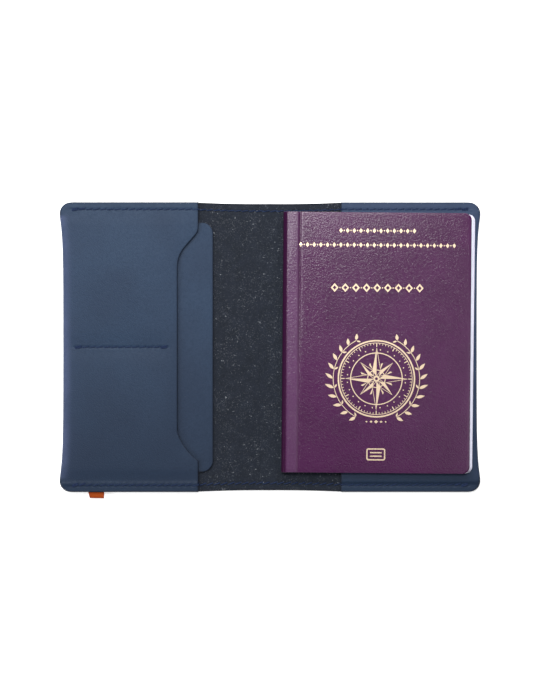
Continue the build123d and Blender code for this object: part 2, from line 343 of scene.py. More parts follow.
def make_lining():
    """Bonded leather: a dark pressed sheet with pale flecks and short fibres."""
    g = Graph("bonded_lining")
    clouds = g.noise(0.3, 5.0, 0.7)
    tone = g.mix(g.ramp(clouds, 0.25, 0.75), rgb(19, 24, 32), rgb(26, 31, 41))
    fleck = None
    for scale, stretch, turn, cut in (
        (0.5, (1.0, 2.2, 1), 0.7, 0.665),
        (0.55, (2.0, 1.0, 1), -0.5, 0.672),
        (0.9, (1.0, 1.5, 1), 1.3, 0.685),
        (0.42, (1.0, 2.0, 1), -0.25, 0.675),
        (0.36, (1.6, 1.0, 1), 2.4, 0.68),
    ):
        vector = g.stretched(stretch, turn, (turn * 7, turn * 3, 0))
        layer = g.ramp(g.noise(scale, 3.0, 0.6, vector), cut, cut + 0.05)
        fleck = g.math("MAXIMUM", fleck, layer) if fleck else layer
    speckle = g.ramp(g.noise(1.9, 4.0, 0.7), 0.53, 0.7, 0.0, 0.42)
    fleck = g.math("MAXIMUM", fleck, speckle)
    crowd = g.ramp(g.noise(0.11, 4.0, 0.65), 0.38, 0.62, 0.3, 1.0)
    strength = g.math("MULTIPLY", fleck, g.ramp(g.noise(1.6, 3.0), 0.3, 0.65, 0.2, 0.85))
    strength = g.math("MULTIPLY", strength, crowd)
    tone = g.mix(strength, tone, rgb(128, 132, 138))
    tone = g.mix(g.attribute("edge_paint_and_shade"), tone, rgb(12, 15, 22))
    grain = g.noise(3.2, 6.0, 0.75)
    normal = g.bump(g.math("ADD", grain, g.math("MULTIPLY", fleck, 0.5)), 0.09, 0.7)
    return g.finish(
        Base_Color=tone, Roughness=0.72, Specular_IOR_Level=0.12, Normal=normal
    )


def make_thread_material():
    g = Graph("navy_thread")
    fibres = g.noise(6.0, 4.0, 0.7)
    tone = g.mix(fibres, rgb(12, 24, 50), rgb(30, 46, 78))
    normal = g.bump(fibres, 0.04, 0.6)
    return g.finish(
        Base_Color=tone, Roughness=0.65, Specular_IOR_Level=0.2, Normal=normal
    )


def make_ribbon_material():
    """Satin: fine ribs across the ribbon, and painted shade that darkens it towards both sides."""
    g = Graph("orange_satin")
    x, y, z = g.separate()[:]
    ribs = g.math("SINE", g.math("MULTIPLY", y, 2 * math.pi / 0.32))
    warp = g.math("SINE", g.math("MULTIPLY", x, 2 * math.pi / 0.21))
    centre = (TAB_LOW[0] + TAB_HIGH[0]) / 2
    half = (TAB_HIGH[0] - TAB_LOW[0]) / 2
    to_side = g.math("ABSOLUTE", g.math("SUBTRACT", x, float(centre)))
    side = g.ramp(to_side, float(half - 1.0), float(half - 0.45))
    tone = g.mix(g.noise(0.8, 3.0), rgb(124, 48, 2), rgb(140, 58, 5))
    # Painted shade: darker towards both sides of the ribbon.
    tone = g.mix(g.math("MULTIPLY", side, 0.55), tone, rgb(122, 44, 16))
    height = g.math("ADD", g.math("MULTIPLY", ribs, 0.5), g.math("MULTIPLY", warp, 0.25))
    normal = g.bump(height, 0.03, 0.6)
    return g.finish(
        Base_Color=tone, Roughness=0.5, Specular_IOR_Level=0.08, Normal=normal
    )


def make_passport_material():
    """Pressed leatherette. A painted highlight pales the band on the bent spine and a strip beside the groove,
    and the cut edges are paler. Painted shade darkens the groove, the spine's turned side and the lower part
    of the front.
    """
    g = Graph("plum_leatherette")
    clouds = g.noise(0.05, 4.0)
    tone = g.mix(g.ramp(clouds, 0.3, 0.7), rgb(57, 15, 55), rgb(64, 19, 62))
    # Paler colour: a painted highlight on the spine's band and beside the groove, and paler cut edges.
    worn_and_lit = g.math("MULTIPLY", g.attribute("wear_and_painted_light"), g.ramp(g.noise(1.4, 5.0), 0.2, 0.7, 0.7, 1.0))
    tone = g.mix(worn_and_lit, tone, rgb(118, 88, 122))
    # Painted shade: darker in the groove, on the spine's turned side and over the lower part of the front.
    tone = g.mix(g.attribute("edge_paint_and_shade"), tone, rgb(40, 14, 38))
    pebbles = g.cells(1.5)
    wrinkles = g.noise(0.8, 6.0, 0.65, distortion=0.8)
    pressed = g.math("MULTIPLY", g.ramp(pebbles, 0.0, 0.6), -0.35)
    height = g.math("ADD", pressed, wrinkles)
    normal = g.bump(height, 0.1, 0.68)
    rough = g.ramp(wrinkles, 0.3, 0.7, 0.18, 0.25)
    shine = g.ramp(g.attribute("edge_paint_and_shade"), 0.1, 0.8, 0.42, 0.05)
    return g.finish(Base_Color=tone, Roughness=rough, Specular_IOR_Level=shine, Normal=normal)


def make_board_edge():
    g = Graph("plum_board_edge")
    layers = g.noise(2.0, 3.0)
    tone = g.mix(layers, rgb(60, 34, 58), rgb(98, 74, 100))
    return g.finish(Base_Color=tone, Roughness=0.6, Normal=g.bump(layers, 0.03))


def make_paper(name, carried):
    g = Graph(name, carried)
    fibres = g.noise(1.6, 5.0, 0.7)
    tone = g.mix(fibres, rgb(206, 205, 222), rgb(226, 225, 240))
    normal = g.bump(fibres, 0.02, 0.4)
    return g.finish(Base_Color=tone, Roughness=0.75, Specular_IOR_Level=0.3, Normal=normal)


def make_data_page_material():
    g = Graph("laminated_page", True)
    haze = g.noise(0.4, 3.0)
    tone = g.mix(haze, rgb(190, 196, 212), rgb(214, 218, 232))
    return g.finish(
        Base_Color=tone, Roughness=g.ramp(haze, 0.3, 0.7, 0.18, 0.3), Coat_Weight=0.4
    )


def make_sewing_material():
    g = Graph("pale_thread", True)
    fibres = g.noise(6.0, 4.0, 0.7)
    tone = g.mix(fibres, rgb(196, 192, 180), rgb(222, 218, 206))
    return g.finish(Base_Color=tone, Roughness=0.6, Normal=g.bump(fibres, 0.03))


def make_foil_material():
    g = Graph("gold_foil")
    rubbed = g.noise(2.4, 5.0, 0.7)
    tone = g.mix(rubbed, rgb(182, 158, 130), rgb(214, 194, 168))
    rough = g.ramp(rubbed, 0.3, 0.7, 0.3, 0.44)
    normal = g.bump(g.noise(3.5, 4.0), 0.02, 0.4)
    return g.finish(Base_Color=tone, Metallic=0.55, Roughness=rough, Normal=normal)


# ---------------------------------------------------------------- mesh helpers

def smoothstep(value, low, high):
    t = np.clip((np.asarray(value, float) - low) / (high - low), 0, 1)
    return t * t * (3 - 2 * t)


def rounded_path(points, radii, step=6.0):
    """A polyline with its corners turned into arcs, one radius for each inner point."""
    path = [np.array(points[0], float)]
    for before, corner, after, radius in zip(points, points[1:], points[2:], radii):
        corner = np.array(corner, float)
        back = np.array(before, float) - corner
        ahead = np.array(after, float) - corner
        back /= np.linalg.norm(back)
        ahead /= np.linalg.norm(ahead)
        opening = math.acos(np.clip(back @ ahead, -1, 1))
        reach = radius / math.tan(opening / 2)
        middle = (back + ahead) / np.linalg.norm(back + ahead)
        centre = corner + middle * radius / math.sin(opening / 2)
        start = corner + back * reach - centre
        turn = math.pi - opening
        if back[0] * ahead[1] - back[1] * ahead[0] > 0:
            turn = -turn
        count = max(4, math.ceil(abs(math.degrees(turn)) / step))
        for i in range(count + 1):
            angle = turn * i / count
            spin = np.array(((math.cos(angle), -math.sin(angle)), (math.sin(angle), math.cos(angle))))
            path.append(centre + spin @ start)
    path.append(np.array(points[-1], float))
    return np.array(path)


def bowed(start, end, depth, count):
    """Points from a start to an end, bowed to the left of a straight line."""
    start, end = np.array(start, float), np.array(end, float)
    share = np.linspace(0, 1, count + 1)[1:, None]
    along = end - start
    left = np.array((-along[1], along[0])) / np.linalg.norm(along)
    return start + along * share + left * 4 * depth * share * (1 - share)


def spread(*stops):
    """Values from stop to stop: spread(0, (10, 1.0), (20, 0.5)) steps by 1.0 and then by 0.5."""
    values = [np.array([stops[0]], float)]
    at = stops[0]
    for end, step in stops[1:]:
        count = max(1, round(abs(end - at) / step))
        values.append(np.linspace(at, end, count + 1)[1:])
        at = end
    return np.concatenate(values)


def mirrored(half):
    """Values from -high to high, from a list that runs from 0 to high."""
    return np.concatenate((-half[:0:-1], half))


def ripple(x, y, size, seed=0.0):
    """Gentle smooth unevenness, from -1 to 1."""
    flat = zip(np.ravel(x), np.ravel(y))
    values = [noise.noise(Vector((a / size, b / size, seed))) for a, b in flat]
    return np.array(values).reshape(np.shape(x))


def link(name, mesh, materials):
    for material in materials:
        mesh.materials.append(material)
    mesh.shade_smooth()
    mesh.set_sharp_from_angle(angle=math.radians(75))
    piece = bpy.data.objects.new(name, mesh)
    bpy.context.scene.collection.objects.link(piece)
    return piece


def keep_rest(mesh, **values):
    """Stores where each point is at rest, which the materials read, and further values."""
    places = np.zeros(len(mesh.vertices) * 3, np.float32)
    mesh.vertices.foreach_get("co", places)
    mesh.attributes.new("rest", "FLOAT_VECTOR", "POINT").data.foreach_set("vector", places)
    for name, value in values.items():
        attribute = mesh.attributes.new(name, "FLOAT", "POINT")
        attribute.data.foreach_set("value", np.asarray(value, np.float32))


def unit(vectors):
    return vectors / np.maximum(np.linalg.norm(vectors, axis=-1, keepdims=True), 1e-12)


def sheet_parts(outer, thickness, facing=1, bulge=0.16, flat_start=False):
    """Points and faces of a sheet with a thickness and rounded cut edges.

    outer has its face's points as rows and columns, in millimetres. Returns the points, the
    faces, a 1 for each face on a cut edge, and which row and column each point belongs to.
    """
    rows, columns = outer.shape[:2]
    along = np.gradient(outer, axis=1)
    across = np.gradient(outer, axis=0)
    normal = unit(np.cross(along, across)) * facing
    inner = outer - normal * thickness
    index = np.arange(rows * columns).reshape(rows, columns)
    quads = np.stack((index[:-1, :-1], index[:-1, 1:], index[1:, 1:], index[1:, :-1]), -1)
    quads = quads.reshape(-1, 4)
    if facing < 0:
        quads = quads[:, ::-1]
    under = quads[:, ::-1] + rows * columns

    ring = [(0, c) for c in range(columns)] + [(r, columns - 1) for r in range(1, rows)]
    ring += [(rows - 1, c) for c in range(columns - 2, -1, -1)]
    ring += [(r, 0) for r in range(rows - 2, 0, -1)]
    ring = np.array(ring)
    r, c = ring[:, 0], ring[:, 1]
    out = np.zeros((len(ring), 3))
    out -= unit(across[r, c]) * (r == 0)[:, None]
    out += unit(across[r, c]) * (r == rows - 1)[:, None]
    out -= unit(along[r, c]) * ((c == 0) & (not flat_start))[:, None]
    out += unit(along[r, c]) * (c == columns - 1)[:, None]
    out = unit(out) * bulge
    top, low = outer[r, c], inner[r, c]
    first = top * 0.78 + low * 0.22 + out
    second = top * 0.22 + low * 0.78 + out

    base = 2 * rows * columns
    count = len(ring)
    loops = [index[r, c], base + np.arange(count), base + count + np.arange(count)]
    loops.append(index[r, c] + rows * columns)
    sides = []
    for upper, lower in zip(loops, loops[1:]):
        step = np.stack((upper, lower, np.roll(lower, -1), np.roll(upper, -1)), -1)
        sides.append(step if facing > 0 else step[:, ::-1])
    sides = np.concatenate(sides)
    points = np.concatenate((outer.reshape(-1, 3), inner.reshape(-1, 3), first, second))
    faces = np.concatenate((quads, under, sides))
    on_edge = np.concatenate((np.zeros(len(quads) + len(under), int), np.ones(len(sides), int)))
    grid_place = np.concatenate((index.ravel(), index.ravel(), index[r, c], index[r, c]))
    return points, faces, on_edge, grid_place


def sheet_piece(name, outer, thickness, materials, values=None, **options):
    """A sheet as one piece. values are numbers for its materials, one for each outer point."""
    points, faces, on_edge, grid_place = sheet_parts(outer, thickness, **options)
    mesh = bpy.data.meshes.new(name)
    mesh.from_pydata((points * MM).tolist(), [], faces.tolist())
    mesh.polygons.foreach_set("material_index", on_edge.astype(np.int32))
    keep_rest(mesh, **{key: value.ravel()[grid_place] for key, value in (values or {}).items()})
    return link(name, mesh, materials)


def merged_piece(name, parts, materials):
    """One piece from several (points, faces, face material) sets."""
    points, faces, slots, start = [], [], [], 0
    for part_points, part_faces, part_slots in parts:
        points.append(np.asarray(part_points, float))
        faces += [[start + i for i in face] for face in part_faces]
        slots += list(part_slots)
        start += len(part_points)
    mesh = bpy.data.meshes.new(name)
    mesh.from_pydata((np.concatenate(points) * MM).tolist(), [], faces)
    mesh.polygons.foreach_set("material_index", np.array(slots, np.int32))
    keep_rest(mesh)
    return link(name, mesh, materials)


# ---------------------------------------------------------------- the leather's outline and relief

def make_edge_lookup():
    """The right edge from the middle to the end of the corner, as points of height and reach."""
    straight_end = HALF_HEIGHT - CORNER_RADIUS
    heights = spread(0, (straight_end, 0.8))
    flare = np.exp(-np.sqrt((straight_end - heights) ** 2 + 4.0) / FLARE_REACH)
    side = WAIST_HALF_LENGTH + (HALF_LENGTH - WAIST_HALF_LENGTH) * flare / flare[-1]
    turn = np.radians(spread(0, (90, 5.0)))[1:]
    arc_y = straight_end + CORNER_RADIUS * np.sin(turn)
    arc_x = HALF_LENGTH - CORNER_RADIUS * (1 - np.cos(turn))
    return np.concatenate((heights, arc_y)), np.concatenate((side, arc_x))


EDGE_HEIGHTS, EDGE_REACHES = make_edge_lookup()
UPPER_SCALLOP = rounded_path(
    [
        (CARD_FLAP_X, HALF_HEIGHT),
        (CARD_FLAP_X, UPPER_SHOULDER_Y),
        (SCALLOP_X, UPPER_SCALLOP_Y),
        (SCALLOP_X, LOWER_SCALLOP_Y),
    ],
    [5.5, 15.0],
)
LOWER_SCALLOP = bowed((SCALLOP_X, LOWER_SCALLOP_Y), (CARD_FLAP_X, LOWER_SHOULDER_Y), LOWER_BOW, 12)
SCALLOP_PATH = np.concatenate((UPPER_SCALLOP, LOWER_SCALLOP, [(CARD_FLAP_X, -HALF_HEIGHT)]))[::-1]
TONGUE_PATH = rounded_path(
    [
        (PANEL_STEP_X, HALF_HEIGHT),
        (PANEL_STEP_X, TONGUE_HALF_HEIGHT + 0.3),
        (TONGUE_X + TONGUE_RADIUS + 1, TONGUE_HALF_HEIGHT),
        (TONGUE_X, TONGUE_HALF_HEIGHT - 0.1),
        (TONGUE_X, 0),
    ],
    [0.1, 0.05, TONGUE_RADIUS],
)[::-1]


def outer_edge(y):
    """How far out the folded edge is, at a height."""
    return np.interp(np.abs(y), EDGE_HEIGHTS, EDGE_REACHES)


def scallop_edge(y):
    return np.interp(y, SCALLOP_PATH[:, 1], SCALLOP_PATH[:, 0])


def straight_edge(y):
    return PASSPORT_FLAP_X


def top_edge(x):
    """Half of the holder's height, which dips over the spine."""
    share = np.clip(np.abs(x) / DIP_X, 0, 1) ** 2
    low = SPINE_HALF_HEIGHT + 0.15
    return low + (HALF_HEIGHT - low) * share


def seam_holes():
    return np.linspace(-SEAM_END_X, SEAM_END_X, SEAM_STITCHES + 1)


def divider_holes():
    return np.linspace(-DIVIDER_OUTER_X, -DIVIDER_INNER_X, DIVIDER_STITCHES + 1)


def needle_marks(x, y, line_y, holes, groove=0.05, pit=0.3, apart=0.0):
    """How deep the seam pulls the surface in. Its holes are on the line or apart, on both sides of it."""
    nearest = np.abs(np.asarray(x)[..., None] - holes).min(-1)
    within = smoothstep(x, holes[0] - 1.5, holes[0]) * (1 - smoothstep(x, holes[-1], holes[-1] + 1.5))
    beside = y - line_y
    line = groove * np.exp(-((beside / 0.75) ** 2))
    to_hole = np.abs(beside) - apart
    holes_depth = pit * np.exp(-((to_hole / 0.5) ** 2) - (nearest / 0.6) ** 2)
    pucker = 0.07 * np.exp(-(((np.abs(beside) - 1.1) / 0.6) ** 2)) * smoothstep(nearest, 0.4, 1.6)
    return (line + holes_depth - pucker) * within


def seam_marks(x, y):
    apart = np.where(np.asarray(y) < 0, LOWER_SLANT, 0.0)
    return needle_marks(x, np.abs(y), SEAM_Y, seam_holes(), apart=apart)


def lower_ridge(y):
    """Above the lower seam, the sheets under the flap push it up."""
    return 0.32 * np.exp(-(((y + 65.8) / 0.9) ** 2)) - 0.06 * np.exp(-(((y + 61.5) / 2.2) ** 2))


def card_flap_height(x, y):
    """The outer face of the card flap: flat at its margins, crowned over each card slot."""
    margin = CARD_FLAP_TOP - 0.4
    rise = 1 - smoothstep(np.abs(y), 58.5, 66.6)
    inward = np.clip((WAIST_HALF_LENGTH - 1 - x) / (WAIST_HALF_LENGTH - SCALLOP_X), 0, 1)
    bay = np.sin(math.pi * np.clip(np.abs(y) / 65.0, 0, 1)) ** 0.7
    crown = 0.5 * bay * np.sin(math.pi * inward) ** 0.6
    pull = 0.28 * np.exp(-((y / 5.0) ** 2)) * smoothstep(x, 46.0, 54.0)
    free = x - scallop_edge(y)
    settle = 0.1 * (1 - smoothstep(free, 0.0, 7.0))
    height = margin + 0.4 * rise + crown - pull - settle * rise
    height += 0.05 * ripple(x, y, 17.0) * rise + lower_ridge(y)
    marks = needle_marks(-x, y, 0.0, divider_holes(), 0.08, 0.34)
    return height - seam_marks(x, y) - marks


def passport_flap_height(x, y):
    margin = PASSPORT_FLAP_TOP - 0.7
    rise = 1 - smoothstep(np.abs(y), 64.3, 66.5)
    return margin + 0.7 * rise - seam_marks(x, y)


def shell_rows():
    corner = [HALF_HEIGHT - CORNER_RADIUS * (1 - math.sin(a)) for a in np.radians(spread(0, (90, 6.0)))]
    return mirrored(
        np.concatenate(
            (
                spread(0, (3, 0.42), (40.7, 1.1), (54.7, 0.7), (60, 0.66), (corner[0], 0.6)),
                spread(corner[0], (67.8, 0.34))[1:],
                [y for y in corner if y > 67.9],
            )
        )
    )


def crease_marks(x):
    """The shallow lines that folding leaves beside the spine."""
    return 0.05 * np.exp(-(((np.abs(x) - CREASE_X) / 0.8) ** 2))


def make_shell(name, side, flap_height, flap_edge, rubbed, painted_top_light, leather, edge_paint):
    """One half of the outer leather: cover, rolled fold and flap, from the middle of the spine."""
    rows = shell_rows()
    cover_share = spread(0, (2.4, 0.6), (6.8, 0.34), (HALF_LENGTH, 0.8)) / HALF_LENGTH
    fold_angles = np.radians(spread(-90, (90, 12.0))[1:-1])
    flap_share = spread(0, (0.978, 1 / 84), (1, 0.0044))
    outer, wear_and_painted_light, edge_paint_and_shade = [], [], []
    for row in rows:
        edge = float(outer_edge(row))
        flat = smoothstep(abs(row), 46.0, 62.0)
        depth = 2.15 - 0.65 * flat
        turn_x = edge - depth
        cover_x = cover_share * turn_x
        lift = 0.3 * smoothstep(cover_x, turn_x - 7.0, turn_x)
        stitch_bed = needle_marks(cover_x, np.full_like(cover_x, abs(row)), SEAM_Y, seam_holes(), 0.34, 0.3)
        cover_z = lift + crease_marks(cover_x) + np.maximum(stitch_bed, 0)
        flap_x = turn_x + (flap_edge(row) - turn_x) * flap_share
        to_cut = np.minimum(flap_x - flap_edge(row), HALF_HEIGHT - abs(row))
        flap_z = flap_height(flap_x, np.full_like(flap_x, row)) - 0.16 * np.exp(-to_cut / 0.3)
        low, high = cover_z[-1], flap_z[0]
        middle, half = (low + high) / 2, (high - low) / 2
        fold_x = turn_x + depth * np.cos(fold_angles)
        fold_z = middle + half * np.sin(fold_angles)
        x = np.concatenate((cover_x, fold_x, flap_x))
        z = np.concatenate((cover_z, fold_z, flap_z))
        y = row / HALF_HEIGHT * top_edge(x)
        outer.append(np.stack((side * x, y, z), -1))
        at_corner = float(smoothstep(abs(row), 62.0, 64.6))
        # Paler colour: a painted highlight along the rolled fold, scaled by rubbed and joined by the fold's
        # wear, and painted light over the flap that grows towards the top.
        rolled = 0.42 * smoothstep(x, edge - 5.0, edge - 1.2) + 0.25 * np.exp((x - edge) / 3.2)
        wear_and_painted_light.append(rubbed * rolled * (1 - at_corner) + painted_top_light * (0.5 + 0.5 * row / HALF_HEIGHT))
        on_flap = np.concatenate((np.zeros(len(cover_x) + len(fold_x)), np.ones(len(flap_x))))
        free_edge = np.exp(-np.abs(x - flap_edge(row)) / 0.3) * on_flap
        round_edge = np.exp(-np.maximum(edge - x, 0) / 0.4) * at_corner
        long_edge = np.exp(-(HALF_HEIGHT - abs(row)) / 0.28)
        edge_paint_and_shade.append(np.clip(free_edge + round_edge + long_edge, 0, 1))
    return sheet_piece(
        name,
        np.array(outer),
        LEATHER - 0.05,
        (leather, edge_paint),
        {"wear_and_painted_light": np.array(wear_and_painted_light), "edge_paint_and_shade": np.array(edge_paint_and_shade)},
        facing=-side,
        flat_start=True,
    )


def make_lining_sheet(name, side, lining, edge_paint):
    rows = shell_rows()
    x = spread(0, (2.4, 0.6), (6.8, 0.34), (LINING_OUTER_X, 0.8))
    grid_x, grid_y = np.meshgrid(x, rows)
    y = grid_y / HALF_HEIGHT * (top_edge(grid_x) - 0.12)
    z = LINING_TOP - crease_marks(grid_x) * 2.0 - seam_marks(grid_x, grid_y) * 0.8
    z = z + 0.035 * ripple(grid_x * side, grid_y, 9.0, 4.0) * (1 - smoothstep(np.abs(grid_y), 60, 66))
    outer = np.stack((side * grid_x, y, z), -1)
    return sheet_piece(
        name,
        outer,
        LINING_TOP - LEATHER,
        (lining, edge_paint),
        {"edge_paint_and_shade": 0.85 * np.exp(-(HALF_HEIGHT - np.abs(grid_y)) / 0.3)},
        facing=side,
        bulge=0.08,
        flat_start=True,
    )


def make_card_panel(leather, edge_paint):
    rows = mirrored(
        np.concatenate(
            (
                spread(0, (50, 1.6), (54, 0.8)),
                [y for y in TONGUE_PATH[:, 1] if 54.2 < y < 60.5],
                spread(60.6, (HALF_HEIGHT - 0.1, 1.0)),
            )
        )
    )
    share = spread(0, (0.6, 0.04), (0.98, 0.01), (1, 0.004))
    outer, edge_paint_and_shade = [], []
    for row in rows:
        end = float(np.interp(abs(row), TONGUE_PATH[:, 1], TONGUE_PATH[:, 0]))
        x = PANEL_OUTER_X + (end - PANEL_OUTER_X) * share
        rise = 1 - smoothstep(abs(row), 64.8, 66.0)
        z = PANEL_TOP - 0.2 + 0.2 * rise + 0 * x
        tongue = 1 - smoothstep(x, TONGUE_X, SCALLOP_X)
        z = z + 0.12 * tongue * rise * (1 + 0.5 * ripple(x, np.full_like(x, row), 22.0, 8.0))
        outer.append(np.stack((-x, np.full_like(x, row), z), -1))
        free_edge = np.exp(-np.abs(x - end) / 0.3)
        above = np.abs(TONGUE_HALF_HEIGHT - abs(row)) + 3 * (x > PANEL_STEP_X)
        outer[-1][:, 2] -= 0.1 * free_edge
        # Painted shadow on the panel beside the flap's free edge.
        to_flap = scallop_edge(row) - x
        flap_shadow = 0.32 * np.exp(-np.abs(to_flap) / 1.3) * (to_flap > 0)
        edge_paint_and_shade.append(np.clip(free_edge + np.exp(-above / 0.3) + flap_shadow, 0, 1))
    return sheet_piece(
        "card_panel_leather",
        np.array(outer),
        0.8,
        (leather, edge_paint),
        {"edge_paint_and_shade": np.array(edge_paint_and_shade)},
        facing=1,
        bulge=0.12,
    )


# ---------------------------------------------------------------- thread

THREAD_RADIUS = 0.19
PLY_OFFSET = 0.16
PLY_TURN = 1.5  # thread length for one full twist


def tube(path, radius, sides=6):
    """Points and faces of a closed round tube along a path."""
    path = np.array(path)
    tangent = unit(np.gradient(path, axis=0))
    side = unit(np.cross(tangent, (0.03, 1.0, 0.02)))
    up = np.cross(side, tangent)
    points, faces = [], []
    for i in range(len(path)):
        share = 0.55 if i in (0, len(path) - 1) else 1.0
        for k in range(sides):
            angle = 2 * math.pi * k / sides
            offset = side[i] * math.cos(angle) + up[i] * math.sin(angle)
            points.append(path[i] + offset * radius * share)
    for i in range(len(path) - 1):
        for k in range(sides):
            a, b = i * sides + k, i * sides + (k + 1) % sides
            faces.append((a, b, b + sides, a + sides))
    last = (len(path) - 1) * sides
    faces.append(tuple(range(sides))[::-1])
    faces.append(tuple(last + k for k in range(sides)))
    return points, faces, [0] * len(faces)


def plied(line, seed):
    """Two plies twisted round each other along a line of points."""
    line = np.array(line)
    steps = np.linalg.norm(np.diff(line, axis=0), axis=1)
    at = np.concatenate(([0], np.cumsum(steps)))
    count = max(8, round(at[-1] / 0.26))
    even = np.linspace(0, at[-1], count)
    smooth = np.stack([np.interp(even, at, line[:, k]) for k in range(3)], -1)
    for _ in range(2):
        smooth[1:-1] = (smooth[:-2] + 2 * smooth[1:-1] + smooth[2:]) / 4
    tangent = unit(np.gradient(smooth, axis=0))
    side = unit(np.cross(tangent, (0.03, 1.0, 0.02)))
    up = np.cross(side, tangent)
    for ply in (0, 1):
        angle = 2 * math.pi * even / PLY_TURN + math.pi * ply + seed
        offset = side * np.cos(angle)[:, None] + up * np.sin(angle)[:, None]
        yield tube(smooth + offset * PLY_OFFSET, THREAD_RADIUS)


def stitch_line(start, end, facing, ledge=None):
    """From one needle hole up over the surface and down into the next."""
    rise = np.array((0, 0, 0.2 * facing))
    sink = np.array((0, 0, -0.75 * facing))
    along = unit(end - start)
    points = [start + sink + along * 0.22, start + along * 0.3 + rise * 0.35]
    points.append(start + along * 0.75 + rise)
    if ledge is not None:
        points.append(ledge)
        points.append(end - along * 0.45 + rise)
    else:
        points.append((start + end) / 2 + rise * 1.25)
        points.append(end - along * 0.75 + rise)
    points += [end - along * 0.3 + rise * 0.35, end + sink - along * 0.22]
    return points


def seam_piece(name, side, line_y, inside, material):
    """The stitches of one row that are on one side of the middle."""
    holes = [x for x in seam_holes() if side * x > -0.01]
    holes.sort(key=abs)
    flap_x = CARD_FLAP_X if side < 0 else PASSPORT_FLAP_X
    flap_height = card_flap_height if side < 0 else passport_flap_height

    def surface(x):
        if not inside:
            return 0.25
        if abs(x) > flap_x:
            hole_y = line_y if line_y > 0 else line_y - LOWER_SLANT
            return float(flap_height(np.array([abs(x)]), np.array([hole_y]))[0]) + 0.2
        return LINING_TOP - 0.02

    parts = []
    repeats = [(i, 0) for i in range(len(holes) - 1)]
    if inside:
        repeats += [(len(holes) - 2, 1), (len(holes) - 2, -1), (len(holes) - 3, 1)]
    for i, again in repeats:
        ends = []
        for x in (holes[i], holes[i + 1]):
            y = line_y / HALF_HEIGHT * float(top_edge(x))
            ends.append(np.array((x, y + 0.42 * again, surface(x) + 0.1 * abs(again))))
        slant = (UPPER_SLANT if line_y > 0 else LOWER_SLANT) if inside else -UPPER_SLANT
        ends[0][1] -= side * slant
        ends[1][1] += side * slant
        ledge = None
        crossing = (abs(holes[i]) - flap_x) * (abs(holes[i + 1]) - flap_x) < 0
        if inside and crossing:
            top = max(ends[0][2], ends[1][2])
            middle_y = (ends[0][1] + ends[1][1]) / 2
            ledge = np.array((side * (flap_x - 0.1), middle_y, top + 0.2))
        line = stitch_line(ends[0], ends[1], 1 if inside else -1, ledge)
        if not inside:
            line = [np.array((p[0], p[1], max(p[2], 0.37))) for p in line]
        parts += plied(line, 0.7 * i)
    return merged_piece(name, parts, (material,))


def divider_piece(material):
    holes = divider_holes()
    pairs = [(i, 0) for i in range(len(holes) - 1)]
    pairs += [(0, 1), (0, -1), (len(holes) - 2, 1), (len(holes) - 2, -1)]
    parts = []
    for i, again in pairs:
        ends = []
        for x in (holes[i], holes[i + 1]):
            height = float(card_flap_height(np.array([abs(x)]), np.array([0.0]))[0]) + 0.24
            ends.append(np.array((x, 0.42 * again, height + 0.1 * abs(again))))
        ends[0][1] -= 0.32
        ends[1][1] += 0.32
        parts += plied(stitch_line(ends[0], ends[1], 1), 0.9 * i)
    return merged_piece("divider_stitches", parts, (material,))


# ---------------------------------------------------------------- ribbon pull tab

def make_ribbon(material):
    """A ribbon folded back on itself, sewn in at its two ends."""
    root_y = -HALF_HEIGHT + 5.2
    tip_y = TAB_LOW[1] + 0.2
    low, high = TAB_LOW[2] + 0.13, TAB_HIGH[2] - 0.02
    radius = (high - low) / 2 + 0.1
    middle = (low + high) / 2
    line = [(y, low) for y in spread(root_y, (-HALF_HEIGHT, 0.6), (tip_y + 1.3, 0.25))]
    for angle in np.radians(spread(-90, (90, 15.0))):
        line.append((tip_y + radius - radius * math.cos(angle), middle + radius * math.sin(angle)))
    back = spread(tip_y + 1.2, (-HALF_HEIGHT, 0.25), (root_y, 0.6))
    line += [(y, high) for y in back]
    line = np.array(line)
    for _ in range(2):
        line[1:-1] = (line[:-2] + 2 * line[1:-1] + line[2:]) / 4
    x = np.linspace(TAB_LOW[0], TAB_HIGH[0], 23)
    outer = np.zeros((len(x), len(line), 3))
    beyond = np.clip(-HALF_HEIGHT - line[:, 0], 0, None)
    for i, value in enumerate(x):
        share = (value - x[0]) / (x[-1] - x[0])
        outer[i, :, 0] = value - 0.15 - 0.28 * (1 - share) + 0.28 * beyond * (1 - share) ** 1.5 - 0.03 * beyond
        sag = 0.1 * math.sin(math.pi * share) * beyond / 3.0
        outer[i, :, 1] = line[:, 0] - 0.05 * beyond * (share - 0.4)
        outer[i, :, 2] = line[:, 1] + sag
    return sheet_piece("ribbon_pull_tab", outer, 0.24, (material, material), facing=1, bulge=0.05)


# ---------------------------------------------------------------- passport

def turned(points, angle):
    """Points of the passport, turned about its middle."""
    flat = points[..., :2] - TURN_CENTRE
    cos, sin = math.cos(angle), math.sin(angle)
    x = flat[..., 0] * cos - flat[..., 1] * sin + TURN_CENTRE[0]
    y = flat[..., 0] * sin + flat[..., 1] * cos + TURN_CENTRE[1]
    return np.stack((x, y, points[..., 2]), -1)


def corner_rows(half, radius, step, corner_step=9.0):
    arc = [half - radius * (1 - math.sin(a)) for a in np.radians(spread(0, (90, corner_step)))]
    return mirrored(np.concatenate((spread(0, (arc[0], step)), arc[1:])))


def corner_inset(row, half, radius):
    """How far a round corner pulls the free edge back, at a height."""
    past = np.clip(abs(row) - (half - radius), 0, radius)
    return radius - math.sqrt(max(radius**2 - past**2, 0))


def near_top(y):
    """Towards 1 where the booklet is opened most, so that its groove shows."""
    return smoothstep(y, -25.0, 45.0)


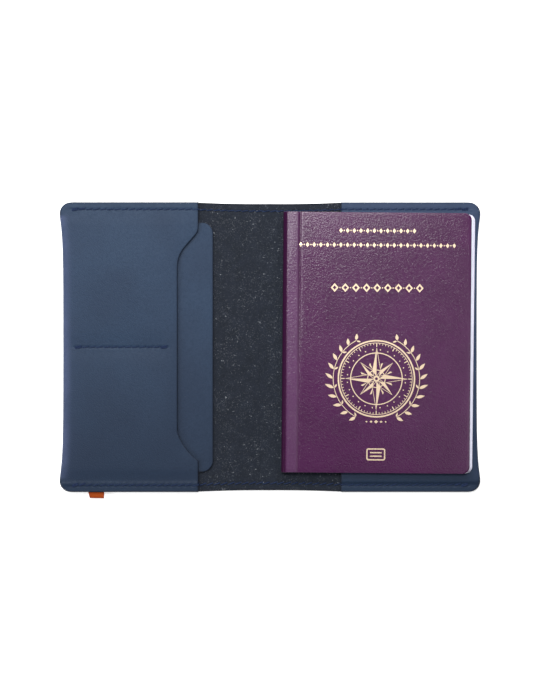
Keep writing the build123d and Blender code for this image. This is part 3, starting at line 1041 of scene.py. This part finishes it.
def cover_relief(x, y):
    """The front board's outer face, below its highest level."""
    groove = 0.13 * np.exp(-(((x - GROOVE_X) / 0.65) ** 2)) * (1 + near_top(y))
    edge = 0.08 * smoothstep(x, BOOKLET_EDGE_X - 5.0, BOOKLET_EDGE_X)
    ends = 0.015 * smoothstep(np.abs(y - TURN_CENTRE[1]), BOOKLET_HALF_HEIGHT - 1.2, BOOKLET_HALF_HEIGHT)
    swell = 0.12 * (1 + ripple(x, y, 30.0, 11.0))
    return -groove - edge - ends - swell


def make_passport_cover(board, board_edge):
    front_z, back_z = BOOKLET_HIGH[2] + 0.12, BOOKLET_LOW[2]
    radius = (BOOKLET_HIGH[2] - BOOKLET_LOW[2]) / 2
    middle = (BOOKLET_HIGH[2] + BOOKLET_LOW[2]) / 2
    back_share = spread(0, (1, 1 / 24))
    front_x = spread(BOOKLET_SPINE_X, (GROOVE_X - 1.6, 0.6), (GROOVE_X + 1.6, 0.2), (BOOKLET_EDGE_X, 1.3))
    front_share = (front_x - BOOKLET_SPINE_X) / (BOOKLET_EDGE_X - BOOKLET_SPINE_X)
    wrap = np.radians(spread(-90, (-270, 6.0))[1:-1])
    outer, wear_and_painted_light, edge_paint_and_shade = [], [], []
    for row in corner_rows(BOOKLET_HALF_HEIGHT, COVER_CORNER, 1.4):
        end = BOOKLET_EDGE_X - corner_inset(row, BOOKLET_HALF_HEIGHT, COVER_CORNER)
        back_x = end + (BOOKLET_SPINE_X - end) * back_share
        y = TURN_CENTRE[1] + row
        front = BOOKLET_SPINE_X + (end - BOOKLET_SPINE_X) * front_share
        front_height = front_z + cover_relief(front, np.full_like(front, y))
        easing = smoothstep(front, BOOKLET_SPINE_X, BOOKLET_SPINE_X + 2.5)
        front_height = BOOKLET_HIGH[2] * (1 - easing) + front_height * easing
        wrap_x = BOOKLET_SPINE_X + radius * np.cos(wrap)
        wrap_z = middle + radius * np.sin(wrap)
        x = np.concatenate((back_x, wrap_x, front))
        z = np.concatenate((np.full_like(back_x, back_z), wrap_z, front_height))
        outer.append(np.stack((x, np.full_like(x, y), z), -1))
        on_front = np.concatenate((np.zeros(len(back_x) + len(wrap_x)), np.ones(len(front))))
        # Painted highlight: the band on the bent spine and a strip beside the groove are made paler; the cut
        # edges are paler too.
        band = smoothstep(x, 7.9, 8.5) * (1 - smoothstep(x, GROOVE_X - 1.3, GROOVE_X - 0.4))
        band *= 1 - 0.35 * smoothstep(row, 5, 45)
        beside = np.exp(-(((x - GROOVE_X - 1.3) / 0.5) ** 2)) * near_top(y)
        cut = np.exp(-np.abs(end - x) / 0.6) + np.exp(-(BOOKLET_HALF_HEIGHT - abs(row)) / 0.4)
        wear_and_painted_light.append(np.clip((0.24 * band + 0.05 * beside) * on_front + 0.1 * cut, 0, 1))
        # Painted shade: darker in the groove, on the spine's turned side, over the lower part of the front and
        # along its bottom edge.
        in_groove = np.exp(-(((x - GROOVE_X + 0.05) / 0.58) ** 2)) * on_front
        spine_shade = (1 - smoothstep(x, 7.3, 8.6)) * (z > back_z + BOARD)
        lower = 0.18 * smoothstep(-row, 5, 60) + 0.2 * np.exp(-(BOOKLET_HALF_HEIGHT + row) / 1.2)
        shaded = (0.05 + 0.4 * near_top(y)) * in_groove + lower * on_front
        edge_paint_and_shade.append(np.clip(shaded + 0.9 * spine_shade, 0, 1))
    outer = turned(np.array(outer), BOOKLET_TURN)
    return sheet_piece(
        "passport_cover",
        outer,
        BOARD - 0.12,
        (board, board_edge),
        {"wear_and_painted_light": np.array(wear_and_painted_light), "edge_paint_and_shade": np.array(edge_paint_and_shade)},
        facing=1,
        bulge=0.06,
    )


def make_pages(paper):
    """The leaves, each a sheet of its own, fanned at the free edge."""
    count = 16
    low, high = PAGES_LOW[2] + 0.02, PAGES_HIGH[2] + 0.02
    half = PAGE_HALF_HEIGHT
    parts = []
    for i in range(count):
        share = i / (count - 1)
        jitter = math.sin(12.9898 * (i + 1)) * 0.06
        edge = PAGE_EDGE_X - PAGE_FAN * share + jitter
        base_z = low + (high - low) * share
        outer = []
        for row in corner_rows(half, 3.2, 4.0, 15.0):
            end = edge - corner_inset(row, half, 3.2)
            x = np.concatenate((np.linspace(9.4, 80.0, 6), np.linspace(84.0, end, 7)))
            curl = 0.05 * smoothstep(x, 82.0, 98.0) * math.sin(row / 14.0 + 0.25 * i)
            y = TURN_CENTRE[1] - 0.05 + row
            outer.append(np.stack((x, np.full_like(x, y), base_z + curl), -1))
        outer = turned(np.array(outer), PAGE_TURN + math.radians(0.02) * math.sin(3.7 * i))
        points, faces, on_edge, _ = sheet_parts(outer, 0.075, facing=1, bulge=0.02)
        parts.append((points, faces.tolist(), [0] * len(faces)))
    return merged_piece("passport_pages", parts, (paper,))


# ---------------------------------------------------------------- foil

FOIL = 0.05


class Foil:
    """Stamped shapes, drawn flat and then laid on the front board."""

    def __init__(self):
        self.parts = []

    def laid(self, flat):
        """Points on the board, from points on a flat plane."""
        flat = np.array(flat, float)
        top = BOOKLET_HIGH[2] + 0.12 + cover_relief(flat[:, 0], flat[:, 1])
        points = np.stack((flat[:, 0], flat[:, 1], top), -1)
        return turned(points, BOOKLET_TURN)

    def polygon(self, flat):
        low = self.laid(flat) - (0, 0, FOIL / 2)
        high = low + (0, 0, FOIL)
        count = len(flat)
        faces = [tuple(range(count, 2 * count)), tuple(range(count))[::-1]]
        for i in range(count):
            j = (i + 1) % count
            faces.append((i, j, count + j, count + i))
        self.parts.append((np.concatenate((low, high)), faces, [0] * len(faces)))

    def band(self, inner, outer, closed=True):
        """A strip between two lines with the same number of points."""
        count = len(inner)
        low_in, low_out = self.laid(inner) - (0, 0, FOIL / 2), self.laid(outer) - (0, 0, FOIL / 2)
        lift = (0, 0, FOIL)
        points = np.concatenate((low_in, low_out, low_in + lift, low_out + lift))
        faces = []
        for i in range(count if closed else count - 1):
            j = (i + 1) % count
            a, b, c, d = i, count + i, 2 * count + i, 3 * count + i
            e, f, g, h = j, count + j, 2 * count + j, 3 * count + j
            faces += [(c, d, h, g), (a, e, f, b), (b, f, h, d), (a, c, g, e)]
        if not closed:
            last = count - 1
            faces.append((0, count, 3 * count, 2 * count))
            faces.append((last, 2 * count + last, 3 * count + last, count + last))
        self.parts.append((points, faces, [0] * len(faces)))

    def ring(self, centre, radius, width, count=96):
        angles = np.linspace(0, 2 * math.pi, count, endpoint=False)
        circle = np.stack((np.cos(angles), np.sin(angles)), -1)
        self.band(centre + circle * (radius - width), centre + circle * radius)

    def bar(self, start, end, width):
        start, end = np.array(start, float), np.array(end, float)
        along = (end - start) / np.linalg.norm(end - start)
        side = np.array((-along[1], along[0])) * width / 2
        self.polygon([start - side, end - side, end + side, start + side])

    def lozenge(self, centre, half_x, half_y):
        x, y = centre
        self.polygon([(x - half_x, y), (x, y - half_y), (x + half_x, y), (x, y + half_y)])

    def leaf(self, root, angle, length, width):
        steps = np.linspace(0, 1, 9)
        half = width / 2 * np.sin(math.pi * steps**0.8)
        cos, sin = math.cos(angle), math.sin(angle)
        right = [(length * s, -h) for s, h in zip(steps, half)]
        left = [(length * s, h) for s, h in zip(steps[1:-1], half[1:-1])][::-1]
        turned_points = [(root[0] + a * cos - b * sin, root[1] + a * sin + b * cos) for a, b in right + left]
        self.polygon(turned_points)

    def piece(self, name, material):
        stamped = merged_piece(name, self.parts, (material,))
        stamped.data.shade_flat()
        return stamped


MIDDLE_X = 51.2
EMBLEM = np.array((MIDDLE_X, -15.2))
LOZENGE_ROWS = (  # height, count, pitch, half width, half height, hollow
    (55.8, 12, 3.2, 0.85, 1.2, False),
    (48.9, 24, 3.2, 0.85, 1.2, False),
    (28.4, 9, 5.1, 1.85, 2.1, True),
)


def make_rules(material):
    """Rows of lozenges with dots between them, in the places of the captions and the title."""
    foil = Foil()
    for y, count, pitch, half_x, half_y, hollow in LOZENGE_ROWS:
        for i in range(count):
            x = MIDDLE_X + (i - (count - 1) / 2) * pitch
            if hollow:
                outer = np.array([(-half_x, 0), (0, -half_y), (half_x, 0), (0, half_y)])
                foil.band((x, y) + outer * 0.5, (x, y) + outer)
            else:
                foil.lozenge((x, y), half_x, half_y)
            if i < count - 1:
                foil.lozenge((x + pitch / 2, y), 0.36, 0.42)
    return foil.piece("foil_lines", material)


def make_emblem(material):
    """A compass rose in graduated rings, between two sprays of leaves."""
    foil = Foil()
    for radius, width in ((18.6, 0.7), (17.3, 0.25), (12.6, 0.45), (4.4, 0.4), (1.5, 0.8)):
        foil.ring(EMBLEM, radius, width)
    for i in range(72):
        angle = 2 * math.pi * i / 72
        way = np.array((math.cos(angle), math.sin(angle)))
        inner = 15.3 if i % 6 == 0 else 16.2
        foil.bar(EMBLEM + way * inner, EMBLEM + way * 17.1, 0.42 if i % 6 == 0 else 0.26)
    for i in range(24):
        angle = 2 * math.pi * (i + 0.5) / 24
        way = np.array((math.cos(angle), math.sin(angle)))
        foil.lozenge(EMBLEM + way * 14.0, 0.36, 0.36)
    for start, reach, half_width, shift in ((0, 14.8, 2.5, 1.2), (45, 10.8, 1.9, 1.6), (22.5, 8.2, 1.0, 4.8)):
        count = 8 if start == 22.5 else 4
        for i in range(count):
            angle = math.radians(start + 360 / count * i)
            way = np.array((math.cos(angle), math.sin(angle)))
            side = np.array((-way[1], way[0]))
            root = EMBLEM + way * shift
            shoulder = EMBLEM + way * (shift + 2.6)
            tip = EMBLEM + way * reach
            # One half of each point is solid and the other is an outline
            foil.polygon([root, shoulder + side * half_width * 0.8, tip])
            if start != 22.5:
                foil.bar(shoulder - side * half_width * 0.8, tip, 0.22)
                foil.bar(root, shoulder - side * half_width * 0.8, 0.22)
    for side in (-1, 1):
        stem = []
        for i in range(21):
            angle = math.radians(-62 + 124 * i / 20)
            stem.append(EMBLEM + np.array((side * math.cos(angle), math.sin(angle))) * 20.6)
        stem = np.array(stem)
        away = unit(stem - EMBLEM)
        foil.band(stem, stem + away * 0.32, closed=False)
        for i in range(0, 21, 2):
            out = math.atan2(away[i][1], away[i][0])
            along = out + side * math.pi / 2
            length = 4.6 - 1.6 * abs(i - 8) / 12
            foil.leaf(stem[i] + away[i] * 0.4, along - side * 0.95, length, 1.5)
            if i % 4 == 0:
                foil.leaf(stem[i] - away[i] * 0.1, along + side * 0.75, 2.1, 0.8)
    for x, y, size in ((-4.6, 0, 0.5), (-2.4, 0.0, 0.7), (0, 0, 1.0), (2.4, 0.0, 0.7), (4.6, 0, 0.5)):
        foil.lozenge(EMBLEM + (x, y - 20.6), size, size * 0.8)
    return foil.piece("foil_compass", material)


def make_mark(material):
    foil = Foil()
    corners = [(-4.55, -2.9), (4.55, -2.9), (4.55, 2.9), (-4.55, 2.9)]
    centre = np.array((MIDDLE_X, -51.5))

    def frame_line(inset, radius):
        half_x, half_y = 4.55 - inset, 2.9 - inset
        points = []
        for start, (sx, sy) in zip((180, 270, 0, 90), ((-1, -1), (1, -1), (1, 1), (-1, 1))):
            middle = (sx * (half_x - radius), sy * (half_y - radius))
            for angle in np.radians(np.linspace(start, start + 90, 6)):
                points.append((middle[0] + radius * math.cos(angle), middle[1] + radius * math.sin(angle)))
        return centre + np.array(points)

    foil.band(frame_line(0.62, 0.5), frame_line(0.0, 1.0))
    for y in (-0.85, 0.85):
        foil.bar(centre + (-2.8, y), centre + (2.8, y), 0.6)
    return foil.piece("foil_mark_plate", material)


# ---------------------------------------------------------------- assembly

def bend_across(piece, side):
    """Bakes the piece's placement into its points; the piece is not bent."""
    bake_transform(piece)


def assemble():
    leather, edge_paint, lining = make_leather(), make_edge_paint(), make_lining()
    thread = make_thread_material()

    # After the edge function come the strengths of the painted highlight on the fold and of the painted light
    # on the flap.
    left = make_shell(
        "leather_left", -1, card_flap_height, scallop_edge, 1.0, 0.0, leather, edge_paint
    )
    right = make_shell(
        "leather_right", 1, passport_flap_height, straight_edge, 0.2, 0.24, leather, edge_paint
    )
    bend_across(left, -1)
    bend_across(right, 1)
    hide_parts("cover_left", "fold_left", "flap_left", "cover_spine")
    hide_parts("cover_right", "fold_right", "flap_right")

    for side, name in ((-1, "left"), (1, "right")):
        sheet = make_lining_sheet(f"lining_sheet_{name}", side, lining, edge_paint)
        bend_across(sheet, side)
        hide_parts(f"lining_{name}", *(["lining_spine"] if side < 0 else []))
        for place, line_y in (("top", SEAM_Y), ("bottom", -SEAM_Y)):
            inner = seam_piece(f"stitches_{place}_{name}", side, line_y, True, thread)
            outer = seam_piece(f"back_stitches_{place}_{name}", side, line_y, False, thread)
            for piece in (inner, outer):
                bend_across(piece, side)
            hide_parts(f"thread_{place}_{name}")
            if side < 0:
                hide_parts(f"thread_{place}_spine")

    panel = make_card_panel(leather, edge_paint)
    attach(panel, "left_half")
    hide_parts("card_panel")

    divider = divider_piece(thread)
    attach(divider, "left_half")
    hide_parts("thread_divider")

    ribbon = make_ribbon(make_ribbon_material())
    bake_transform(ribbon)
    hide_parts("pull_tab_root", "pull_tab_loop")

    cover = make_passport_cover(make_passport_material(), make_board_edge())
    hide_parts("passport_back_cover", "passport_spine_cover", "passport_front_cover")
    pages = make_pages(make_paper("page_paper", False))
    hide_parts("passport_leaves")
    foil = make_foil_material()
    rules, emblem, mark = make_rules(foil), make_emblem(foil), make_mark(foil)
    for piece, node in ((rules, "foil_rules"), (emblem, "foil_emblem"), (mark, "foil_mark")):
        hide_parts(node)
    for piece in (cover, pages, rules, emblem, mark):
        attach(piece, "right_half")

    carried = {
        "passport_front_endpaper": make_paper("endpaper", True),
        "passport_data_page": make_data_page_material(),
        "passport_sewing_thread": make_sewing_material(),
    }
    carried["passport_back_endpaper"] = carried["passport_front_endpaper"]
    for name, material in carried.items():
        slots = frame["nodes"][name].material_slots
        for item in slots:
            item.material = material


make_stage()
assemble()

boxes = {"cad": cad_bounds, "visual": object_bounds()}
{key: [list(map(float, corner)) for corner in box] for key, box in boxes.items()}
